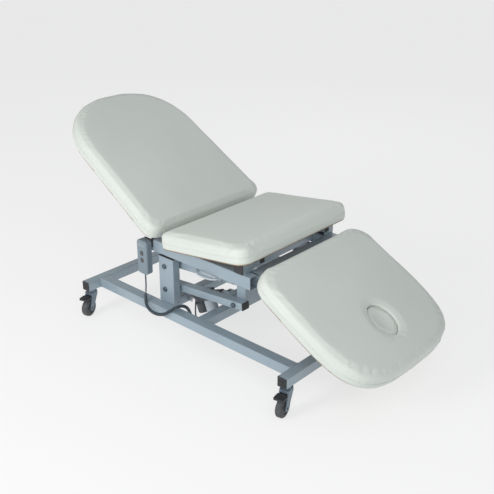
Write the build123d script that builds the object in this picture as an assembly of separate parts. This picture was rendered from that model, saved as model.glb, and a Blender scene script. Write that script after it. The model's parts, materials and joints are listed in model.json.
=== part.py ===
from build123d import *
import math
import os

# Height-adjustable medical exam table, in millimetres. X runs from the head end to the foot
# end, Y from the near side to the far side, Z up from the floor. Heights are from the floor.
# Lengths along the base are measured from its head end and shifted by CENTRE_X at export.
CENTRE_X = 569.55

# base
TUBE = 40.0  # height of the base tubes
BASE_LENGTH = 1108.0
BASE_WIDTH = 758.0
BASE_Z = 114.0  # underside of the base, which is the castor height
BEAM_WIDTH = 45.0
BEAM_OUTER_Y = 316.0
WALL = 2.0
POST_X = (358.0, 440.0)
POST_Y = (231.0, 267.0)
POST_TOP = 346.0
LIFT_BAR_X = 600.0

# lift
ARM_WIDTH = 40.0
ARM_HEIGHT = 30.0
ARM_Y = 206.5
ARM_TILT = 5.5
ARM_LENGTH = 332.5  # pivot to pivot
PIVOT_X = 391.0
LOWER_PIVOT_Z = 206.0
UPPER_PIVOT_Z = 306.0
CROSS_AT = 275.0  # distance of the arm cross tube from the base pivot
ACTUATOR_PIN = (430.0, 148.0)
ACTUATOR_Y = -150.0
ACTUATOR_LUG_AT = 235.0

# top frame
RAIL_X = (318.0, 840.0)
RAIL_Z = (354.0, 404.0)
RAIL_OUTER_Y = 267.0
RAIL_WIDTH = 40.0
BRACKET_X = 722.0
STUB_X = 787.0

# cushions
HALF_WIDTH = 316.0
THICKNESS = 66.0
BOARD = 12.0
EDGE_RADIUS = 18.0
BACK_PIVOT = (387.0, 430.0)
BACK_START = (364.3, 416.6)
BACK_TILT = 31.1
BACK_LENGTH = 724.0
SEAT_START = (428.0, 406.9)
SEAT_TILT = 7.9
SEAT_LENGTH = 431.0
LEG_PIVOT = (866.0, 393.0)
LEG_START = (864.6, 405.0)
LEG_TILT = 29.0
LEG_LENGTH = 571.0
BACK_STRUT_BASE = (338.0, 330.0)
BACK_STRUT_AT = 220.0
LEG_STRUT_BASE = (820.0, 290.0)
LEG_STRUT_AT = 120.0
PLUG_AT = 385.0  # breathing hole, along the leg section from its hinge end
PLUG_RADII = (68.0, 52.0)

# castors
WHEEL_RADIUS = 37.5
WHEEL_WIDTH = 26.0
TRAIL = 26.0
CASTORS = {
    "near_head": (20.0, -355.0, -73.0),
    "near_foot": (1088.0, -355.0, -78.0),
    "far_head": (20.0, 355.0, 73.0),
    "far_foot": (1088.0, 355.0, 78.0),
}



def block(x, y, z):
    """A box from its low and high limits along each axis."""
    size = (x[1] - x[0], y[1] - y[0], z[1] - z[0])
    middle = ((x[0] + x[1]) / 2, (y[0] + y[1]) / 2, (z[0] + z[1]) / 2)
    return Pos(*middle) * Box(*size)


def tube(axis, span, centre, size, wall=WALL):
    """A rounded rectangular tube along one axis; centre and size are in the other two axes' order."""
    outer = RectangleRounded(size[0], size[1], 3.0)
    inner = RectangleRounded(size[0] - 2 * wall, size[1] - 2 * wall, 1.5)
    length = span[1] - span[0]
    profile = extrude(outer - inner, amount=length)
    if axis == "X":
        place = Location(Plane((span[0], centre[0], centre[1]), x_dir=(0, 1, 0), z_dir=(1, 0, 0)))
    elif axis == "Y":
        place = Location(Plane((centre[0], span[0], centre[1]), x_dir=(-1, 0, 0), z_dir=(0, 1, 0)))
    else:
        place = Location(Plane((centre[0], centre[1], span[0]), x_dir=(1, 0, 0), z_dir=(0, 0, 1)))
    return place * profile


def rod(start, end, radius):
    """A round bar between two points."""
    a = Vector(*start)
    b = Vector(*end)
    return Plane(a, z_dir=(b - a)) * extrude(Circle(radius), amount=(b - a).length)


def ring(start, end, radius, bore):
    """A round tube between two points."""
    a = Vector(*start)
    b = Vector(*end)
    return Plane(a, z_dir=(b - a)) * extrude(Circle(radius) - Circle(bore), amount=(b - a).length)


def cap(axis, at, sign, centre, size):
    """A domed plastic plug on a tube's end, with its spigot inside the tube."""
    plate = extrude(RectangleRounded(size[0] - 0.6, size[1] - 0.6, 3.0), amount=3.0)
    plate = chamfer(plate.faces().sort_by(Axis.Z)[-1].edges(), 1.0)
    spigot = extrude(RectangleRounded(size[0] - 2 * WALL - 0.6, size[1] - 2 * WALL - 0.6, 1.2), amount=-8.0)
    z_dir = {"X": (sign, 0, 0), "Y": (0, sign, 0), "Z": (0, 0, sign)}[axis]
    x_dir = {"X": (0, 1, 0), "Y": (1, 0, 0), "Z": (1, 0, 0)}[axis]
    origin = {
        "X": (at, centre[0], centre[1]),
        "Y": (centre[0], at, centre[1]),
        "Z": (centre[0], centre[1], at),
    }[axis]
    return Location(Plane(origin, x_dir=x_dir, z_dir=z_dir)) * (plate + spigot)


def both_sides(shape):
    """The shape and its mirror image across the centre plane."""
    return [shape, mirror(shape, about=Plane.XZ)]


def about_y(point, angle):
    """Turns a shape built at the origin by angle about Y and moves it to point (x, z)."""
    return Location((point[0], 0, point[1]), (0, angle, 0))


def on_arm(distance, base_z):
    """A point (x, z) along an arm from its base pivot."""
    tilt = math.radians(ARM_TILT)
    return (PIVOT_X + distance * math.cos(tilt), base_z + distance * math.sin(tilt))


# ---------------------------------------------------------------- base
def base_beam(side):
    y = side * (BEAM_OUTER_Y - BEAM_WIDTH / 2)
    return tube("X", (TUBE, BASE_LENGTH - TUBE), (y, BASE_Z + TUBE / 2), (BEAM_WIDTH, TUBE))


def base_cross(x):
    body = tube("Y", (-BASE_WIDTH / 2, BASE_WIDTH / 2), (x, BASE_Z + TUBE / 2), (TUBE, TUBE))
    for _, (cx, cy, _) in CASTORS.items():
        if abs(cx - x) < 1:
            body -= Pos(cx, cy, BASE_Z) * Cylinder(6.05, 2 * WALL + 1)
    return body


def inner_cross(x):
    inside = BEAM_OUTER_Y - BEAM_WIDTH
    return tube("Y", (-inside, inside), (x, BASE_Z + TUBE / 2), (TUBE, TUBE))


def post(side):
    x = (POST_X[0] + POST_X[1]) / 2
    y = side * (POST_Y[0] + POST_Y[1]) / 2
    size = (POST_X[1] - POST_X[0], POST_Y[1] - POST_Y[0])
    body = tube("Z", (BASE_Z + TUBE, POST_TOP), (x, y), size)
    for z in (LOWER_PIVOT_Z, UPPER_PIVOT_Z):
        body -= rod((PIVOT_X, y - 30, z), (PIVOT_X, y + 30, z), 6.0)
    return body


def pivot_bolt(x, z, inner, outer):
    """A pivot pin with a domed head on the outside and a washer nut inside."""
    pin = rod((x, -outer, z), (x, -inner, z), 5.95)
    head = rod((x, -outer - 6, z), (x, -outer, z), 10.0)
    head = chamfer(head.faces().sort_by(Axis.Y)[0].edges(), 1.5)
    nut = rod((x, -inner, z), (x, -inner + 6, z), 9.0)
    return both_sides(pin + head + nut)


def base_caps():
    parts = []
    for x in (TUBE / 2, BASE_LENGTH - TUBE / 2):
        for sign in (-1, 1):
            parts.append(cap("Y", sign * BASE_WIDTH / 2, sign, (x, BASE_Z + TUBE / 2), (TUBE, TUBE)))
    x = (POST_X[0] + POST_X[1]) / 2
    for sign in (-1, 1):
        y = sign * (POST_Y[0] + POST_Y[1]) / 2
        size = (POST_X[1] - POST_X[0], POST_Y[1] - POST_Y[0])
        parts.append(cap("Z", POST_TOP, 1, (x, y), size))
    return parts


def actuator_clevis():
    x, z = ACTUATOR_PIN
    parts = []
    for y in (ACTUATOR_Y - 14, ACTUATOR_Y + 9):
        plate = block((x - 22, x + 4), (y, y + 5), (z - 24, z + 4)) + rod((x, y, z), (x, y + 5, z), 11.0)
        parts.append(plate - rod((x, y - 1, z), (x, y + 6, z), 5.0))
    pin = rod((x, ACTUATOR_Y - 17, z), (x, ACTUATOR_Y + 17, z), 4.95)
    return parts, [pin]


def control_box():
    shell = block((552, 648), (-268, -226), (74, 113.8))
    return fillet(shell.edges().filter_by(Axis.Z) + shell.faces().sort_by(Axis.Z)[0].edges(), 4.0)


# ---------------------------------------------------------------- castors
def castor(x, y, angle):
    """Fork with its stem, wheel and brake pedal, built trailing along +X and then swivelled."""
    axle_z = WHEEL_RADIUS
    top = Pos(0, 0, BASE_Z - 6) * Cylinder(17.0, 11.0)
    stem = Pos(0, 0, BASE_Z + 9) * Cylinder(6.0, 20.0)
    crown = extrude(
        Plane.XY.offset(BASE_Z - 20) * RectangleRounded(46, WHEEL_WIDTH + 12, 9), amount=9
    )
    fork = top + stem + crown
    half = WHEEL_WIDTH / 2 + 2
    for side in (-1, 1):
        low = side * half if side > 0 else side * half - 4
        outline = Plane.XZ * make_hull(
            [*(Pos(0, BASE_Z - 18) * Rectangle(34, 8)).edges(), *(Pos(TRAIL, axle_z) * Circle(12)).edges()]
        )
        fork += Pos(0, low + 4, 0) * extrude(outline, amount=4)
    fork -= Pos(TRAIL, 0, axle_z) * Rot(90, 0, 0) * Cylinder(WHEEL_RADIUS + 3, WHEEL_WIDTH + 3.9)
    fork -= rod((TRAIL, -30, axle_z), (TRAIL, 30, axle_z), 4.0)
    wheel = Pos(TRAIL, 0, axle_z) * Rot(90, 0, 0) * Cylinder(WHEEL_RADIUS, WHEEL_WIDTH)
    wheel = fillet(wheel.edges().filter_by(GeomType.CIRCLE), 7.0)
    for side in (-1, 1):
        dish = Pos(TRAIL, side * (WHEEL_WIDTH / 2), axle_z) * Rot(90, 0, 0) * (Cylinder(24, 6) - Cylinder(11, 6))
        wheel -= dish
    wheel += rod((TRAIL, -half - 5, axle_z), (TRAIL, half + 5, axle_z), 3.95)
    hinge = (14.0, BASE_Z - 26.0)
    pedal = extrude(Plane.XY.offset(BASE_Z - 31) * RectangleRounded(36, 40, 5), amount=7)
    pedal = Pos(44, 0, 0) * pedal + block((hinge[0], 30), (-12, 12), (BASE_Z - 30, BASE_Z - 23))
    pedal += rod((hinge[0], -14.7, hinge[1]), (hinge[0], 14.7, hinge[1]), 5.0)
    place = Location((x, y, 0), (0, 0, angle))
    return place * fork, place * wheel, place * pedal


# ---------------------------------------------------------------- lift
def arm(side, base_z, tail):
    """A lift arm: a tube with bushed pivot holes and a short tail beyond its upper pivot."""
    body = tube("X", (-18, ARM_LENGTH + tail), (side * ARM_Y, 0), (ARM_WIDTH - 2, ARM_HEIGHT))
    for x in (0, ARM_LENGTH):
        low = side * ARM_Y - (ARM_WIDTH - 2) / 2
        body += ring((x, low, 0), (x, low + ARM_WIDTH - 2, 0), 9.0, 6.0)
        body -= rod((x, low - 1, 0), (x, low + ARM_WIDTH, 0), 6.0)
    return about_y((PIVOT_X, base_z), -ARM_TILT) * body


def arm_cross_tube():
    inner = ARM_Y - ARM_WIDTH / 2 + 1
    body = tube("Y", (-inner, inner), (CROSS_AT, 0), (ARM_HEIGHT, ARM_HEIGHT))
    place = about_y((PIVOT_X, LOWER_PIVOT_Z), -ARM_TILT)
    parts = [place * body]
    for y in (ACTUATOR_Y - 14, ACTUATOR_Y + 9):
        lug = block((ACTUATOR_LUG_AT, CROSS_AT - ARM_HEIGHT / 2), (y, y + 5), (-11, 11))
        lug += rod((ACTUATOR_LUG_AT, y, 0), (ACTUATOR_LUG_AT, y + 5, 0), 11.0)
        parts.append(place * lug)
    return parts


def arm_caps():
    parts = []
    for tail, z in ((42, LOWER_PIVOT_Z), (18, UPPER_PIVOT_Z)):
        for side in (-1, 1):
            plug = cap("X", ARM_LENGTH + tail, 1, (side * ARM_Y, 0), (ARM_WIDTH - 2, ARM_HEIGHT))
            parts.append((z, about_y((PIVOT_X, z), -ARM_TILT) * plug))
    return [p for z, p in parts if z == LOWER_PIVOT_Z], [p for z, p in parts if z == UPPER_PIVOT_Z]


def upper_tie():
    inner = ARM_Y - ARM_WIDTH / 2 + 1
    return about_y((PIVOT_X, UPPER_PIVOT_Z), -ARM_TILT) * rod((120, -inner, 0), (120, inner, 0), 11.0)


def actuator_axis():
    """Angle above level and length of the actuator between its two pins."""
    end = on_arm(ACTUATOR_LUG_AT, LOWER_PIVOT_Z)
    dx = end[0] - ACTUATOR_PIN[0]
    dz = end[1] - ACTUATOR_PIN[1]
    return math.degrees(math.atan2(dz, dx)), math.hypot(dx, dz)


def actuator():
    """Built along +X from its base pin, with the motor hanging below."""
    angle, length = actuator_axis()
    y = ACTUATOR_Y
    eye = ring((0, y - 8, 0), (0, y + 8, 0), 10.0, 5.0)
    neck = block((9.0, 16), (y - 8, y + 8), (-9, 9))
    gearbox = Pos(38, y, -27) * Cylinder(24.0, 92.0)
    gearbox = fillet(gearbox.edges().filter_by(GeomType.CIRCLE), 7.0)
    head = Pos(84, y, 0) * Box(56, 44, 42)
    head = fillet(head.edges().filter_by(Axis.Y), 8.0)
    gearbox = gearbox + head + eye + neck
    bore = rod((20, y, 0), (140, y, 0), 10.6)
    gearbox -= bore
    motor = Pos(92, y, -56) * Cylinder(25.0, 70.0)
    motor = fillet(motor.edges().group_by(Axis.Z)[0], 7.0)
    outer = ring((112, y, 0), (178, y, 0), 16.0, 10.6)
    inner = rod((100, y, 0), (length - 14, y, 0), 10.5) + ring((length, y - 8, 0), (length, y + 8, 0), 11.0, 5.0)
    inner += block((length - 15, length - 9), (y - 8, y + 8), (-7, 7))
    inner += rod((length, y - 8.5, 0), (length, y + 8.5, 0), 4.95)
    place = about_y(ACTUATOR_PIN, -angle)
    return [place * p for p in (gearbox, motor, outer, inner)]


# ---------------------------------------------------------------- top frame
def side_rail(side):
    y = side * (RAIL_OUTER_Y - RAIL_WIDTH / 2)
    z = (RAIL_Z[0] + RAIL_Z[1]) / 2
    return tube("X", RAIL_X, (y, z), (RAIL_WIDTH, RAIL_Z[1] - RAIL_Z[0]))


def top_cross_rails():
    inner = RAIL_OUTER_Y - RAIL_WIDTH
    parts = []
    for x, low, high, end in ((378, 350, 380, inner), (BRACKET_X, 364, 404, inner), (820, 374, 404, 221)):
        parts.append(tube("Y", (-end, end), (x, (low + high) / 2), (40, high - low)))
    return parts


def hanging_bracket(side):
    body = tube("Z", (222, 364), (BRACKET_X, side * 166), (40, 40))
    for z_base in (LOWER_PIVOT_Z, UPPER_PIVOT_Z):
        x, z = on_arm(ARM_LENGTH, z_base)
        body -= rod((x, side * 166 - 30, z), (x, side * 166 + 30, z), 6.0)
    return body


def seat_stub(side):
    low, high = (-267, -212) if side < 0 else (212, 267)
    return tube("Y", (low, high), (STUB_X, 425), (42, 42))


def hinge_lugs():
    """Lugs for the back and leg sections inside the rails, and the handle's two under the near rail."""
    x, z = BACK_PIVOT
    back = block((x - 10, x + 10), (-227, -221), (380, z)) + rod((x, -227, z), (x, -221, z), 10.0)
    back += rod((x, -221, z), (x, -214.1, z), 5.95)
    x, z = LEG_PIVOT
    leg = block((800, x), (-227, -221), (z - 9, z + 5)) + rod((x, -227, z), (x, -221, z), 9.0)
    leg += rod((x, -221, z), (x, -214.1, z), 5.95)
    handle = []
    for low in (562, 684):
        plate = block((low, low + 4), (-264, -250), (338, RAIL_Z[0]))
        handle.append(plate - rod((low - 1, -257, 346), (low + 5, -257, 346), 4.05))
    return both_sides(back) + both_sides(leg) + handle


def frame_caps():
    parts = []
    z = (RAIL_Z[0] + RAIL_Z[1]) / 2
    for side in (-1, 1):
        y = side * (RAIL_OUTER_Y - RAIL_WIDTH / 2)
        parts.append(cap("X", RAIL_X[0], -1, (y, z), (RAIL_WIDTH, RAIL_Z[1] - RAIL_Z[0])))
        parts.append(cap("Y", side * 267, side, (STUB_X, 425), (42, 42)))
        parts.append(
            about_y(SEAT_START, -SEAT_TILT) * cap("X", 405, 1, (side * 193, -12.5), (25, 25))
        )
    return parts


# ---------------------------------------------------------------- sections
def section_outline(length, taper, corner, end_length, power, inset=0.0):
    """Plan of a section: rounded corners at the hinge end, a superellipse at the free end."""
    length = length - 2 * inset
    end_length = end_length - inset
    straight = length - end_length
    width = HALF_WIDTH - inset
    end_width = width - taper * straight / length
    bend = [
        (
            straight + end_length * math.sin(t) ** (2 / power),
            end_width * math.cos(t) ** (2 / power),
        )
        for t in [math.pi / 2 * k / 7 for k in range(1, 7)]
    ]
    start = (straight, end_width)
    tip = (length, 0)
    slope = (straight, end_width - width)
    curve = Spline(start, *bend, tip, tangents=(slope, (0, -1)))
    side = Line((corner, width), start)
    arc = RadiusArc((0, width - corner), (corner, width), corner)
    edge = Line((0, 0), (0, width - corner))
    half = Wire([edge, arc, side, curve])
    other = mirror(half, about=Plane.XZ)
    return Pos(inset, 0) * make_face(Wire(half.edges() + other.edges()))


def seat_outline(inset=0.0):
    """Plan of the seat: small corners at the back's end and larger ones at the leg section's end."""
    plan = Pos(SEAT_LENGTH / 2, 0) * Rectangle(SEAT_LENGTH - 2 * inset, 2 * HALF_WIDTH + 6 - 2 * inset)
    plan = fillet(plan.vertices().group_by(Axis.X)[0], 26.0 - inset)
    return fillet(plan.vertices().group_by(Axis.X)[-1], 50.0 - inset)


def padded_section(outline, board_outline):
    """Board and cushion with a rounded top edge; the cushion stands out round the board."""
    board = extrude(board_outline, amount=BOARD)
    cushion = Pos(0, 0, BOARD) * extrude(outline, amount=THICKNESS - BOARD)
    top = cushion.faces().sort_by(Axis.Z)[-1]
    cushion = fillet(top.edges(), EDGE_RADIUS)
    return board, cushion


def turned(shape):
    """A section that extends towards the head end instead of the foot end."""
    return mirror(shape, about=Plane.YZ)


def section_frame(length, y, strut_at):
    """Two lengthwise tubes and a cross tube under a board, with lugs for the strut's end."""
    parts = []
    for side in (-1, 1):
        parts.append(tube("X", (10, length), (side * y, -12.5), (25, 25)))
    inner = y - 12.5
    parts.append(tube("Y", (-inner, inner), (strut_at + 36, -12.5), (25, 25)))
    for low in (-11.5, 7.5):
        lug = block((strut_at, strut_at + 23.5), (low, low + 4), (-28, -4))
        parts.append(lug + rod((strut_at, low, -20), (strut_at, low + 4, -20), 9.0))
    return parts


def hinge_plate(pivot, side):
    """A plate from a section's tube round its board's end to the hinge pin at pivot."""
    low = 214.0 if side > 0 else -220.0
    y = (low, low + 6)
    body = block((pivot[0] - 9.5, 70), y, (-24.5, -0.5))
    if pivot[1] > 0:
        body += block((pivot[0] - 9.5, pivot[0] + 9.5), y, (-24.5, pivot[1]))
        body += rod((pivot[0], low, pivot[1]), (pivot[0], low + 6, pivot[1]), 9.5)
    return body - rod((pivot[0], low - 1, pivot[1]), (pivot[0], low + 7, pivot[1]), 6.0)


def to_local(point, start, tilt):
    """A point (x, z) of the table in the frame of a section turned by tilt about Y."""
    dx = point[0] - start[0]
    dz = point[1] - start[1]
    t = math.radians(tilt)
    return (dx * math.cos(t) - dz * math.sin(t), dx * math.sin(t) + dz * math.cos(t))


# ---------------------------------------------------------------- gas struts
def strut_lugs(base, reach, top):
    """Two plates from a cross rail to the strut's pin; reach is their far side, top their height."""
    x, z = base
    plates = []
    for low in (-16.0, 12.0):
        plate = block((x - 8, reach), (low, low + 4), (z, top)) + rod((x, low, z), (x, low + 4, z), 8.0)
        plates.append(plate)
    return plates[0] + rod((x, -12, z), (x, 12, z), 4.95) + plates[1]


def strut(base, end, body_length, rod_start):
    """A gas strut in the centre plane, from base (x, z) to end (x, z): cylinder and rod."""
    dx = end[0] - base[0]
    dz = end[1] - base[1]
    length = math.hypot(dx, dz)
    cylinder = ring((0, -6, 0), (0, 6, 0), 9.0, 5.0)
    cylinder += rod((8.5, 0, 0), (body_length, 0, 0), 11.0)
    cylinder -= rod((20, 0, 0), (body_length + 1, 0, 0), 5.05)
    inner = rod((rod_start, 0, 0), (length - 7, 0, 0), 5.0)
    inner += rod((length, -6, 0), (length, 6, 0), 9.0)
    place = about_y(base, -math.degrees(math.atan2(dz, dx)))
    return place * cylinder, place * inner


def section_point(start, tilt, along, drop, direction):
    """World (x, z) of a point along a section and below its board."""
    t = math.radians(tilt)
    return (
        start[0] + direction * along * math.cos(t) - drop * math.sin(t),
        start[1] + (along * math.sin(t) if direction < 0 else -along * math.sin(t)) - drop * math.cos(t),
    )


def write_struts():
    back_end = section_point(BACK_START, BACK_TILT, BACK_STRUT_AT, 20, -1)
    leg_end = section_point(LEG_START, LEG_TILT, LEG_STRUT_AT, 20, 1)
    for name, base, end, body_length, rod_start in (
        ("back", BACK_STRUT_BASE, back_end, 165.0, 84.0),
        ("leg", LEG_STRUT_BASE, leg_end, 104.0, 44.0),
    ):
        cylinder, inner = strut(base, end, body_length, rod_start)
        write(f"{name}_strut_cylinder", cylinder)
        write(f"{name}_strut_rod", inner)
    back_lugs = strut_lugs(BACK_STRUT_BASE, 358, 370)
    write("strut_lugs", back_lugs, strut_lugs(LEG_STRUT_BASE, 828, 374))


HANDSET_X = 297.0
HANDSET_Y = -286.0
BUTTON_Z = (345.0, 315.0)


def handset():
    outline = Plane.XZ * (Pos(HANDSET_X, 327) * RectangleRounded(58, 146, 14))
    shell = Pos(0, HANDSET_Y + 14, 0) * extrude(outline, amount=28)
    front = shell.faces().sort_by(Axis.Y)[0]
    shell = fillet(front.edges(), 5.0)
    for z in BUTTON_Z:
        shell -= rod((HANDSET_X, HANDSET_Y - 20, z), (HANDSET_X, HANDSET_Y - 6, z), 10.2)
    return shell



def handset_hook():
    x = (HANDSET_X - 12, HANDSET_X + 34)
    back_y = HANDSET_Y + 14
    arm_ = block((x[0], x[1]), (back_y, back_y + 4.0), (372, 405))
    top = block((RAIL_X[0] + 2, x[1]), (back_y, -255), (404.3, 406.3))
    lip = block((RAIL_X[0] + 2, x[1]), (back_y, back_y + 4.0), (400, 406.3))
    return arm_ + top + lip


def button(z):
    body = rod((HANDSET_X, HANDSET_Y - 15.5, z), (HANDSET_X, HANDSET_Y - 8, z), 10.0)
    return chamfer(body.faces().sort_by(Axis.Y)[0].edges(), 1.0)


def release_handle():
    """A flat bar bent to a D under the near rail."""
    z = 346.0
    outer = Pos(625, -262) * Ellipse(56, 30)
    inner = Pos(625, -262) * Ellipse(46, 20)
    bow = Plane.XY.offset(z - 3) * (outer - inner)
    bow = extrude(bow, amount=6)
    bow -= block((560, 690), (-262, -225), (z - 10, z + 10))
    boss = block((569, 681), (-262, -257), (z - 3, z + 3))
    return bow + boss + rod((560, -257, z), (690, -257, z), 4.0)


# ---------------------------------------------------------------- cords
CORD_THIN = [(297, -286, 250), (298, -287, 226), (304, -292, 202), (315, -304, 184)]
CORD_CURLY = [
    (315, -304, 184),
    (328, -318.2, 162.7),
    (352, -336, 146),
    (384, -342, 134),
    (422, -342, 133),
    (458, -338, 145),
    (482, -326, 166),
    (492, -300, 176),
    (497, -272, 172),
    (504, -254, 156),
    (511, -249, 134),
    (521, -249, 113),
    (536, -250, 96),
    (551.9, -250, 96),
]
CORD_MOTOR = [
    (551.9, -234, 97),
    (538, -234, 97),
    (524, -230, 110),
    (515, -224, 130),
    (506, -214, 152),
    (496, -202, 163),
    (485, -192, 155),
    (477, -186, 139),
    (477, -174.4, 139),
]


def cord(points, radius, name):
    """A round cord along straight runs joined by tangent arcs; prints its arc radii and volume."""
    vectors = [Vector(*p) for p in points]
    radii = []
    for a, b, c in zip(vectors, vectors[1:], vectors[2:]):
        turn = math.radians((b - a).get_angle(c - b))
        shorter = min((b - a).length, (c - b).length)
        radii.append(0.45 * shorter / math.tan(turn / 2))
    path = FilletPolyline(*vectors, radius=radii)
    start = Plane(path @ 0, z_dir=path % 0)
    body = sweep(start * Circle(radius), path=path)
    ratio = body.volume / (math.pi * radius**2 * path.length)
    print(name, "length", round(path.length, 1), "radii", [round(r) for r in radii], "volume", round(ratio, 3))
    return body


def write(name, *shapes):
    """Writes one node, shifted so that the object's middle is at X = 0."""
    solids = [s for shape in shapes for s in (shape if isinstance(shape, list) else [shape])]
    moved = [Pos(-CENTRE_X, 0, 0) * s for s in solids]
    pieces = [p for m in moved for p in m.solids()]
    result = pieces[0] if len(pieces) == 1 else Compound(children=pieces)
    export_step(result, f"parts/{name}.step")


def write_base():
    write("base_beam_near", base_beam(-1))
    write("base_beam_far", base_beam(1))
    write("base_cross_tubes", base_cross(TUBE / 2), base_cross(BASE_LENGTH - TUBE / 2))
    write("base_cross_bars", inner_cross(388), inner_cross(LIFT_BAR_X))
    write("posts", post(-1), post(1))
    write("base_caps", base_caps())
    bolts = pivot_bolt(PIVOT_X, LOWER_PIVOT_Z, 187, 267) + pivot_bolt(PIVOT_X, UPPER_PIVOT_Z, 187, 267)
    write("post_pivot_bolts", bolts)
    plates, pin = actuator_clevis()
    write("actuator_clevis", plates, pin)
    write("control_box", control_box())
    write("motor_cable", cord(CORD_MOTOR, 3.0, "motor cable"))


def write_castors():
    for name, place in CASTORS.items():
        fork, wheel, pedal = castor(*place)
        write(f"castor_fork_{name}", fork)
        write(f"castor_wheel_{name}", wheel)
        write(f"castor_pedal_{name}", pedal)


def write_lift():
    write("lower_arms", arm(-1, LOWER_PIVOT_Z, 42), arm(1, LOWER_PIVOT_Z, 42))
    write("lower_arm_cross_tube", arm_cross_tube())
    lower, upper = arm_caps()
    write("lower_arm_caps", lower)
    write("upper_arms", arm(-1, UPPER_PIVOT_Z, 18), arm(1, UPPER_PIVOT_Z, 18), upper_tie())
    write("upper_arm_caps", upper)
    gearbox, motor, outer, inner = actuator()
    write("actuator_gearbox", gearbox)
    write("actuator_motor", motor)
    write("actuator_tube", outer)
    write("actuator_rod", inner)


def write_top_frame():
    write("side_rails", side_rail(-1), side_rail(1))
    write("top_cross_rails", top_cross_rails())
    yoke_plate = block((742, 747), (-186, 186), (226, 300))
    write("hanging_brackets", hanging_bracket(-1), hanging_bracket(1), yoke_plate)
    bolts = []
    for z_base in (LOWER_PIVOT_Z, UPPER_PIVOT_Z):
        x, z = on_arm(ARM_LENGTH, z_base)
        bolts += pivot_bolt(x, z, 146, 227.5)
    write("bracket_pivot_bolts", bolts)
    write("hinge_lugs", hinge_lugs())
    write("frame_caps", frame_caps())
    write("release_handle", release_handle())
    seat = about_y(SEAT_START, -SEAT_TILT)
    board, cushion = padded_section(seat_outline(), seat_outline(6))
    write("seat_board", seat * board)
    write("seat_cushion", seat * cushion)
    tubes = [seat * tube("X", (10, 405), (side * 193, -12.5), (25, 25)) for side in (-1, 1)]
    write("seat_supports", seat_stub(-1), seat_stub(1), tubes)


def write_back():
    place = about_y(BACK_START, BACK_TILT)
    shape = (BACK_LENGTH, 25, 50, 296, 2.4)
    board, cushion = padded_section(section_outline(*shape), section_outline(*shape, inset=6))
    write("back_board", place * turned(board))
    write("back_cushion", place * turned(cushion))
    x, z = to_local(BACK_PIVOT, BACK_START, BACK_TILT)
    plates = [hinge_plate((-x, z), side) for side in (-1, 1)]
    pieces = section_frame(560, 201.5, BACK_STRUT_AT) + plates
    write("back_frame", [place * turned(p) for p in pieces])


def write_leg():
    place = about_y(LEG_START, LEG_TILT)
    shape = (LEG_LENGTH, -12, 90, 322, 3.6)
    board, cushion = padded_section(section_outline(*shape), section_outline(*shape, inset=6))
    hole = Pos(PLUG_AT, 0, 0) * extrude(Ellipse(*PLUG_RADII), amount=THICKNESS + 1)
    write("leg_board", place * (board - hole))
    write("leg_cushion", place * (cushion - hole))
    plug = extrude(Ellipse(PLUG_RADII[0] - 0.4, PLUG_RADII[1] - 0.4), amount=THICKNESS - 2)
    plug = fillet(plug.faces().sort_by(Axis.Z)[-1].edges(), 6.0)
    write("breathing_plug", place * (Pos(PLUG_AT, 0, 2) * plug))
    pivot = to_local(LEG_PIVOT, LEG_START, LEG_TILT)
    plates = [hinge_plate(pivot, side) for side in (-1, 1)]
    pieces = section_frame(480, 201.5, LEG_STRUT_AT) + plates
    write("leg_frame", [place * p for p in pieces])


def write_handset():
    write("handset_shell", handset())
    write("handset_hook", handset_hook())
    write("button_up", button(BUTTON_Z[0]))
    write("button_down", button(BUTTON_Z[1]))
    write("handset_cord", cord(CORD_THIN, 3.0, "handset cord"))
    write("curly_cord", cord(CORD_CURLY, 7.0, "curly cord"))


os.makedirs("parts", exist_ok=True)
write_base()
write_castors()
write_lift()
write_top_frame()
write_back()
write_leg()
write_struts()
write_handset()
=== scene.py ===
"""Medical exam table: cushions, cords, finishes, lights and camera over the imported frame."""

import json
import math

import bpy
from mathutils import Matrix, Vector, noise


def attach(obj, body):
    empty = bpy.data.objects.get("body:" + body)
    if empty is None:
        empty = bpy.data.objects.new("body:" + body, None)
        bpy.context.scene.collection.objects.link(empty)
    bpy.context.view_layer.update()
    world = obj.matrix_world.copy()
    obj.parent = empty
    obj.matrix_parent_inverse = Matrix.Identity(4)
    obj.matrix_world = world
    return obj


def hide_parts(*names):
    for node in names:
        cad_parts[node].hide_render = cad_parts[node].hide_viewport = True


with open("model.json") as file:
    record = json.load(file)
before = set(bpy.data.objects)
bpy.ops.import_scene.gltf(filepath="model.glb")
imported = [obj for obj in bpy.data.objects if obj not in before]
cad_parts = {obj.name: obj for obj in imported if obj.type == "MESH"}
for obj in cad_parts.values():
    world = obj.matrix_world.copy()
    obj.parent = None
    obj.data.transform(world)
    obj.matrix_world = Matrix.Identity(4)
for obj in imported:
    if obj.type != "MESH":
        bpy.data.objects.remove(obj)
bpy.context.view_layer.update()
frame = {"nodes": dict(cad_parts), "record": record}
nodes = frame["nodes"]
scene = bpy.context.scene

CENTRE_X = 569.55
# each section: its start (x, z) in mm, its tilt in degrees, and which way along X it runs
BACK = ((364.3, 416.6), 31.1, -1)
SEAT = ((428.0, 406.9), -7.9, 1)
LEG = ((864.6, 405.0), 29.0, 1)
BOARD = 0.012  # metres


def link(obj):
    scene.collection.objects.link(obj)
    return obj


def point(x, y, z):
    return Vector(((x - CENTRE_X) / 1000, y / 1000, z / 1000))


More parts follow.
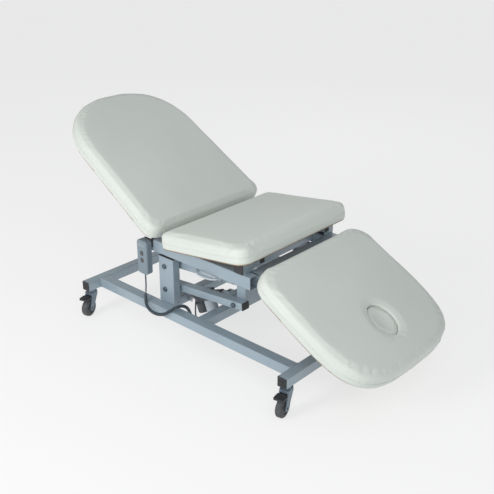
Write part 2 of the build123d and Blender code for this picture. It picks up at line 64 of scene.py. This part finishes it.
# ---------------------------------------------------------------- cords
CORD_THIN = [(297, -286, 250), (298, -287, 226), (304, -292, 202), (315, -304, 184)]
CORD_CURLY = [
    (315, -304, 184),
    (328, -318.2, 162.7),
    (352, -336, 146),
    (384, -342, 134),
    (422, -342, 133),
    (458, -338, 145),
    (482, -326, 166),
    (492, -300, 176),
    (497, -272, 172),
    (504, -254, 156),
    (511, -249, 134),
    (521, -249, 113),
    (536, -250, 96),
    (551.9, -250, 96),
]
CORD_MOTOR = [
    (551.9, -234, 97),
    (538, -234, 97),
    (524, -230, 110),
    (515, -224, 130),
    (506, -214, 152),
    (496, -202, 163),
    (485, -192, 155),
    (477, -186, 139),
    (477, -174.4, 139),
]


def spline_curve(name, points, radius):
    data = bpy.data.curves.new(name, "CURVE")
    data.dimensions = "3D"
    data.resolution_u = 8
    spline = data.splines.new("NURBS")
    spline.points.add(len(points) - 1)
    for place, p in zip(spline.points, points):
        place.co = (*p, 1.0)
        place.radius = max(radius, 0.001)
    spline.order_u = 3
    spline.use_endpoint_u = True
    data.bevel_depth = 1.0 if radius > 0 else 0.0
    data.bevel_resolution = 4
    data.use_fill_caps = radius > 0
    return link(bpy.data.objects.new(name, data))


def route_line(points):
    """Points along the route's own NURBS."""
    bare = spline_curve("route", points, 0.0)
    bpy.context.view_layer.update()
    mesh = bpy.data.meshes.new_from_object(bare)
    line = [v.co.copy() for v in mesh.vertices]
    bpy.data.objects.remove(bare)
    bpy.data.meshes.remove(mesh)
    return line


def evenly(line, step):
    """The line's points again, one every step along it."""
    out = [line[0]]
    need = step
    for a, b in zip(line, line[1:]):
        length = (b - a).length
        at = need
        while at <= length:
            out.append(a.lerp(b, at / length))
            at += step
        need = at - length
    return out


def line_length(line):
    return sum((b - a).length for a, b in zip(line, line[1:]))


def helix(points, radius, pitch, straight):
    """The curly cord's coil round its route, with a short straight lead at each end."""
    line = evenly(route_line(points), pitch / 10)
    total = len(line)
    out = []
    side = Vector((0, 1, 0))
    for i, p in enumerate(line):
        along = (line[min(i + 1, total - 1)] - line[max(i - 1, 0)]).normalized()
        side = (side - along * side.dot(along)).normalized()
        up = along.cross(side)
        ends = min(i, total - 1 - i) * pitch / 10
        grow = radius * min(1.0, max(0.0, (ends - straight) / 0.008))
        turn = 2 * math.pi * i / 10
        out.append(p + (side * math.cos(turn) + up * math.sin(turn)) * grow)
    return out


def cord_piece(name, points, radius, body):
    obj = spline_curve(name, points, radius)
    bare = route_line(points)
    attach(obj, body)
    return obj, line_length(bare)


def cords():
    thin = [point(*p) for p in CORD_THIN]
    obj, length = cord_piece("handset_lead", thin, 0.003, "top_frame")
    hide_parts("handset_cord")
    curly = helix([point(*p) for p in CORD_CURLY], 0.0050, 0.0052, 0.004)
    coil, coil_length = cord_piece("curly_coil", curly, 0.0019, "top_frame")
    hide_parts("curly_cord")
    motor = [point(*p) for p in CORD_MOTOR]
    lead, lead_length = cord_piece("motor_lead", motor, 0.003, "base")
    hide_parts("motor_cable")
    return [obj, coil, lead]


# ---------------------------------------------------------------- camera
def camera():
    azimuth, elevation, roll = math.radians(41.7), math.radians(24.2), math.radians(0.3)
    back = Vector(
        (math.sin(azimuth) * math.cos(elevation), -math.cos(azimuth) * math.cos(elevation), math.sin(elevation))
    )
    right0 = Vector((math.cos(azimuth), math.sin(azimuth), 0))
    up0 = back.cross(right0)
    right = right0 * math.cos(roll) + up0 * math.sin(roll)
    up = up0 * math.cos(roll) - right0 * math.sin(roll)
    data = bpy.data.cameras.new("camera")
    data.lens = 58.07
    data.sensor_width = 36
    obj = link(bpy.data.objects.new("camera", data))
    turn = Matrix((right, up, back)).transposed().to_4x4()
    obj.matrix_world = Matrix.Translation((1.942, -2.160, 1.661)) @ turn
    scene.camera = obj
    scene.view_settings.view_transform = "Standard"


# ---------------------------------------------------------------- materials
def nodes_for(name):
    mat = bpy.data.materials.new(name)
    mat.use_nodes = True
    tree = mat.node_tree
    return mat, tree, tree.nodes["Principled BSDF"]


def noise_node(tree, scale, detail, coords):
    node = tree.nodes.new("ShaderNodeTexNoise")
    node.inputs["Scale"].default_value = scale
    node.inputs["Detail"].default_value = detail
    tree.links.new(coords, node.inputs["Vector"])
    return node.outputs["Fac"]


def ramp(tree, value, low, high, first, last):
    node = tree.nodes.new("ShaderNodeMapRange")
    tree.links.new(value, node.inputs["Value"])
    for key, number in (("From Min", low), ("From Max", high), ("To Min", first), ("To Max", last)):
        node.inputs[key].default_value = number
    return node.outputs["Result"]


def finish_material(name, colour, second, rough, metallic=0.0, grain=900, bump=0.05, edge=0.0, spread=6, coat=0.0):
    """Two close colours mixed by broad noise, uneven roughness, a fine bump and soft edges."""
    mat, tree, shader = nodes_for(name)
    coords = tree.nodes.new("ShaderNodeTexCoord").outputs["Object"]
    broad = noise_node(tree, spread, 4, coords)
    mix = tree.nodes.new("ShaderNodeMix")
    mix.data_type = "RGBA"
    mix.inputs["A"].default_value = (*colour, 1)
    mix.inputs["B"].default_value = (*second, 1)
    tree.links.new(ramp(tree, broad, 0.35, 0.65, 0, 1), mix.inputs["Factor"])
    tree.links.new(mix.outputs["Result"], shader.inputs["Base Color"])
    smudge = noise_node(tree, spread * 5, 6, coords)
    tree.links.new(ramp(tree, smudge, 0.3, 0.7, rough - 0.07, rough + 0.07), shader.inputs["Roughness"])
    shader.inputs["Metallic"].default_value = metallic
    shader.inputs["Coat Weight"].default_value = coat
    fine = noise_node(tree, grain, 3, coords)
    relief = tree.nodes.new("ShaderNodeBump")
    relief.inputs["Strength"].default_value = bump
    relief.inputs["Distance"].default_value = 0.001
    tree.links.new(fine, relief.inputs["Height"])
    if edge > 0:
        soft = tree.nodes.new("ShaderNodeBevel")
        soft.samples = 4
        soft.inputs["Radius"].default_value = edge
        tree.links.new(soft.outputs["Normal"], relief.inputs["Normal"])
    tree.links.new(relief.outputs["Normal"], shader.inputs["Normal"])
    return mat


def vinyl():
    """Pebbled off-white upholstery vinyl."""
    mat = finish_material("vinyl", (0.625, 0.662, 0.622), (0.60, 0.638, 0.60), 0.46, grain=500, bump=0.10, spread=3)
    tree = mat.node_tree
    shader = tree.nodes["Principled BSDF"]
    relief = shader.inputs["Normal"].links[0].from_node
    coords = [n for n in tree.nodes if n.bl_idname == "ShaderNodeTexCoord"][0].outputs["Object"]
    cells = tree.nodes.new("ShaderNodeTexVoronoi")
    cells.inputs["Scale"].default_value = 700
    tree.links.new(coords, cells.inputs["Vector"])
    second = tree.nodes.new("ShaderNodeBump")
    second.inputs["Strength"].default_value = 0.12
    second.inputs["Distance"].default_value = 0.0006
    tree.links.new(cells.outputs["Distance"], second.inputs["Height"])
    tree.links.new(relief.outputs["Normal"], second.inputs["Normal"])
    tree.links.new(second.outputs["Normal"], shader.inputs["Normal"])
    shader.inputs["Specular IOR Level"].default_value = 0.4
    return mat


# slot: two colours, roughness, metallic, grain, bump, edge radius in metres, spread of the broad noise, coat
FINISHES = {
    "frame_paint": ((0.30, 0.375, 0.43), (0.275, 0.345, 0.40), 0.34, 0.15, 1400, 0.05, 0.0016, 6, 0.2),
    "black_plastic": ((0.02, 0.022, 0.025), (0.03, 0.03, 0.034), 0.5, 0.0, 1800, 0.12, 0.0008, 6, 0.0),
    "board_wood": ((0.30, 0.20, 0.12), (0.22, 0.14, 0.08), 0.6, 0.0, 300, 0.2, 0.0, 30, 0.0),
    "steel": ((0.55, 0.56, 0.58), (0.48, 0.49, 0.51), 0.3, 1.0, 2200, 0.08, 0.0006, 6, 0.0),
    "bolt_zinc": ((0.12, 0.15, 0.18), (0.09, 0.12, 0.15), 0.4, 0.7, 2200, 0.08, 0.0006, 6, 0.0),
    "motor_plastic": ((0.44, 0.49, 0.53), (0.40, 0.45, 0.49), 0.42, 0.0, 1500, 0.1, 0.001, 6, 0.0),
    "gear_plastic": ((0.07, 0.08, 0.09), (0.055, 0.06, 0.07), 0.5, 0.0, 1500, 0.12, 0.001, 6, 0.0),
    "castor_tyre": ((0.05, 0.055, 0.06), (0.08, 0.085, 0.09), 0.68, 0.0, 900, 0.2, 0.001, 30, 0.0),
    "castor_plate": ((0.16, 0.21, 0.26), (0.13, 0.18, 0.22), 0.36, 0.5, 1600, 0.08, 0.0008, 6, 0.0),
    "handset_plastic": ((0.20, 0.25, 0.29), (0.18, 0.23, 0.27), 0.5, 0.0, 1700, 0.15, 0.001, 6, 0.0),
    "button_plastic": ((0.05, 0.06, 0.07), (0.07, 0.075, 0.08), 0.45, 0.0, 1700, 0.1, 0.0, 6, 0.0),
    "cord_rubber": ((0.05, 0.07, 0.09), (0.065, 0.085, 0.105), 0.5, 0.0, 1200, 0.1, 0.0, 6, 0.0),
}


def make_materials():
    made = {name: finish_material(name, *values) for name, values in FINISHES.items()}
    made["vinyl"] = vinyl()
    return made


def dress(obj, mat):
    obj.data.materials.clear()
    obj.data.materials.append(mat)


def dress_nodes(mats):
    for part in frame["record"]["subparts"]:
        dress(nodes[part["node"]], mats[part["material_slot"]])
    for node in ("post_pivot_bolts", "bracket_pivot_bolts"):
        dress(nodes[node], mats["bolt_zinc"])


# ---------------------------------------------------------------- cushions
def local_frame(section):
    """Matrix from a section's own frame (X away from its start, Z out of the cushion) to the part's."""
    (x, z), tilt, direction = section
    angle = math.radians(tilt)
    along = Vector((direction * math.cos(angle), 0, -direction * math.sin(angle)))
    across = Vector((0, direction, 0))
    turn = Matrix((along, across, along.cross(across))).transposed().to_4x4()
    return Matrix.Translation(point(x, 0, z)) @ turn


def pressed(obj, hold_below, frames):
    """Cloth under light pressure, its underside held, each point's travel capped."""
    rest = [v.co.copy() for v in obj.data.vertices]
    held = obj.vertex_groups.new(name="held")
    held.add([v.index for v in obj.data.vertices if v.co.z < hold_below], 1.0, "REPLACE")
    cloth = obj.modifiers.new("cloth", "CLOTH")
    cloth.settings.quality = 4
    cloth.settings.tension_stiffness = 30
    cloth.settings.compression_stiffness = 30
    cloth.settings.bending_stiffness = 3
    cloth.settings.use_pressure = True
    cloth.settings.uniform_pressure_force = 4
    cloth.settings.vertex_group_mass = "held"
    cloth.settings.effector_weights.gravity = 0
    cloth.point_cache.frame_start = 1
    cloth.point_cache.frame_end = frames
    for number in range(1, frames + 1):
        scene.frame_set(number)
    shape = obj.evaluated_get(bpy.context.evaluated_depsgraph_get()).to_mesh()
    moved = [v.co.copy() for v in shape.vertices]
    obj.modifiers.remove(cloth)
    scene.frame_set(1)
    for v, a, b in zip(obj.data.vertices, rest, moved):
        step = b - a
        if step.length > 0.004:
            step = step * (0.004 / step.length)
        v.co = a + step


def upholstery(name, node, section, crown, mat, body, dish=None):
    """A cushion grown from its plain solid: wrapped round its board, crowned and pressed out."""
    place = local_frame(section)
    obj = link(bpy.data.objects.new(name, nodes[node].data.copy()))
    obj.data.transform(place.inverted())
    for v in obj.data.vertices:
        if v.co.z < BOARD + 0.004:
            v.co.z -= BOARD - 0.0012
    bpy.context.view_layer.objects.active = obj
    weld = obj.modifiers.new("weld", "WELD")
    weld.merge_threshold = 0.0002
    grid = obj.modifiers.new("grid", "REMESH")
    grid.mode = "VOXEL"
    grid.voxel_size = 0.0055
    soft = obj.modifiers.new("soft", "SMOOTH")
    soft.iterations = 12
    soft.factor = 0.5
    bpy.context.view_layer.update()
    mesh = bpy.data.meshes.new_from_object(obj.evaluated_get(bpy.context.evaluated_depsgraph_get()))
    obj.modifiers.clear()
    obj.data = mesh
    xs = [v.co.x for v in mesh.vertices]
    middle, half = (max(xs) + min(xs)) / 2, (max(xs) - min(xs)) / 2
    for v in mesh.vertices:
        if v.co.z > 0.045:
            u = (v.co.x - middle) / half
            w = v.co.y / 0.316
            v.co.z += crown * max(0.0, 1 - u * u) * max(0.0, 1 - w * w)
            if dish:
                v.co.z += dish(v.co.x, v.co.y)
            v.co.z += 0.0009 * noise.noise(v.co * 9.0)
    pressed(obj, 0.02, 12)
    mesh.transform(place)
    mesh.polygons.foreach_set("use_smooth", [True] * len(mesh.polygons))
    dress(obj, mat)
    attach(obj, body)
    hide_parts(node)
    return obj


def rim(mesh, to_local, level):
    """The cushion's outline at a level, as points in its own frame."""
    found = {}
    points = [to_local @ v.co for v in mesh.vertices]
    middle = sum(p.x for p in points) / len(points)
    for p in points:
        if abs(p.z - level) > 0.006:
            continue
        key = round(math.atan2(p.y, p.x - middle) * 60)
        reach = math.hypot(p.x - middle, p.y)
        if key not in found or reach > math.hypot(found[key].x - middle, found[key].y):
            found[key] = p
    return [found[k] for k in sorted(found)]


def seam(name, obj, section, level, radius, mat, body):
    """A welted seam right round a cushion's side."""
    place = local_frame(section)
    points = rim(obj.data, place.inverted(), level)
    data = bpy.data.curves.new(name, "CURVE")
    data.dimensions = "3D"
    data.resolution_u = 2
    spline = data.splines.new("NURBS")
    spline.points.add(len(points) - 1)
    for target, p in zip(spline.points, points):
        target.co = (*(place @ Vector((p.x, p.y, level))), 1)
        target.radius = radius
    spline.order_u = 3
    spline.use_cyclic_u = True
    data.bevel_depth = 1.0
    data.bevel_resolution = 3
    piece = link(bpy.data.objects.new(name, data))
    dress(piece, mat)
    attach(piece, body)
    return piece


def cushions(mat):
    sections = (
        ("back_pad", "back_cushion", BACK, 0.008, "back", 0.7),
        ("seat_pad", "seat_cushion", SEAT, 0.008, "top_frame", 0.75),
        ("leg_pad", "leg_cushion", LEG, 0.005, "leg", 0.7),
    )
    for name, node, section, crown, body, fill in sections:
        pad = upholstery(name, node, section, crown, mat, body)
        seam(name + "_seam", pad, section, 0.030, 0.0011, mat, body)
    upholstery("plug_pad", "breathing_plug", LEG, 0.0, mat, "plug", plug_dish)


def plug_dish(x, y):
    """The plug's top is a shallow dish."""
    u = (x - 0.385) / 0.064
    w = y / 0.048
    return -0.012 * max(0.0, 1 - u * u - w * w) ** 0.7


# ---------------------------------------------------------------- small details
def line_piece(name, points, radius, mat, body, cyclic=False):
    data = bpy.data.curves.new(name, "CURVE")
    data.dimensions = "3D"
    spline = data.splines.new("POLY")
    spline.points.add(len(points) - 1)
    for place, p in zip(spline.points, points):
        place.co = (*p, 1.0)
        place.radius = radius
    spline.use_cyclic_u = cyclic
    data.bevel_depth = 1.0
    data.bevel_resolution = 2
    obj = link(bpy.data.objects.new(name, data))
    dress(obj, mat)
    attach(obj, body)


def square(x, y, z, half_a, half_b, normal):
    """Corners of a rectangle about a point; normal is the axis it faces."""
    corners = []
    for a, b in ((-1, -1), (1, -1), (1, 1), (-1, 1)):
        if normal == "X":
            corners.append(point(x, y + a * half_a, z + b * half_b))
        elif normal == "Y":
            corners.append(point(x + a * half_a, y, z + b * half_b))
        else:
            corners.append(point(x + a * half_a, y + b * half_b, z))
    return corners


def welds(mats):
    """Painted weld beads where tubes meet."""
    paint = mats["frame_paint"]
    for side in (-1, 1):
        tag = "near" if side < 0 else "far"
        beam = side * 293.5
        for name, x in (("head", 40), ("foot", 1068)):
            corners = square(x, beam, 134, 22.5, 20, "X")
            line_piece(f"weld_{name}_{tag}", corners, 0.0016, paint, "base", True)
        corners = square(399, side * 249, 154, 41, 18, "Z")
        line_piece(f"weld_post_{tag}", corners, 0.0018, paint, "base", True)
        corners = square(722, side * 166, 364, 20, 20, "Z")
        line_piece(f"weld_bracket_{tag}", corners, 0.0016, paint, "top_frame", True)
        corners = square(787, side * 249, 404, 21, 18, "Z")
        line_piece(f"weld_stub_{tag}", corners, 0.0016, paint, "top_frame", True)


def handset_details(mats):
    """A lighter band at the hand control's head and its case's parting line."""
    grey = mats["motor_plastic"]
    dark = mats["button_plastic"]
    for i, z in enumerate((375, 379, 383)):
        ends = [point(297 - 18, -300.2, z), point(297 + 18, -300.2, z)]
        line_piece(f"handset_rib_{i}", ends, 0.0007, grey, "top_frame")
    for side in (-1, 1):
        ends = [point(297 + side * 28.95, -286, 270), point(297 + side * 28.95, -286, 384)]
        line_piece(f"handset_parting_{'l' if side < 0 else 'r'}", ends, 0.0005, dark, "top_frame")


def cap_ribs(mats):
    """Raised ribs on the base's square end caps."""
    black = mats["black_plastic"]
    for x, name in ((20, "head"), (1088, "foot")):
        for side in (-1, 1):
            for k in (-1, 0, 1):
                y = side * 384.3
                ends = [point(x - 14, y, 134 + 9 * k), point(x + 14, y, 134 + 9 * k)]
                line_piece(f"cap_rib_{name}_{side + 1}_{k + 1}", ends, 0.0007, black, "base")


# ---------------------------------------------------------------- light and floor
def area(name, place, target, size, power, colour):
    data = bpy.data.lights.new(name, "AREA")
    data.shape = "DISK"
    data.size = size
    data.energy = power
    data.color = colour
    obj = link(bpy.data.objects.new(name, data))
    obj.location = place
    obj.rotation_euler = (Vector(place) - Vector(target)).to_track_quat("Z", "Y").to_euler()


def lights():
    world = bpy.data.worlds.new("world")
    scene.world = world
    world.use_nodes = True
    background = world.node_tree.nodes["Background"]
    background.inputs["Color"].default_value = (0.86, 0.87, 0.88, 1)
    background.inputs["Strength"].default_value = 0.50
    area("key", (-0.6, -3.6, 1.9), (0, 0, 0.35), 1.6, 74, (1.0, 0.99, 0.97))
    area("front", (1.9, -1.7, 2.0), (0, 0, 0.4), 2.0, 26, (0.97, 0.99, 1.0))
    area("behind", (-1.5, 3.0, 2.4), (0, 0, 0.4), 1.8, 9, (0.95, 0.98, 1.0))


def floor():
    mesh = bpy.data.meshes.new("floor")
    s = 40.0
    mesh.from_pydata([(-s, -s, 0), (s, -s, 0), (s, s, 0), (-s, s, 0)], [], [(0, 1, 2, 3)])
    obj = link(bpy.data.objects.new("floor", mesh))
    mat, _, shader = nodes_for("floor")
    shader.inputs["Base Color"].default_value = (0.25, 0.25, 0.25, 1)
    shader.inputs["Roughness"].default_value = 0.9
    shader.inputs["Emission Color"].default_value = (1, 1, 1, 1)
    shader.inputs["Emission Strength"].default_value = 0.68
    dress(obj, mat)


made_cords = cords()
camera()
materials = make_materials()
dress_nodes(materials)
for piece in made_cords:
    dress(piece, materials["cord_rubber"])
cushions(materials["vinyl"])
welds(materials)
handset_details(materials)
cap_ribs(materials)
lights()
floor()
bpy.context.view_layer.update()
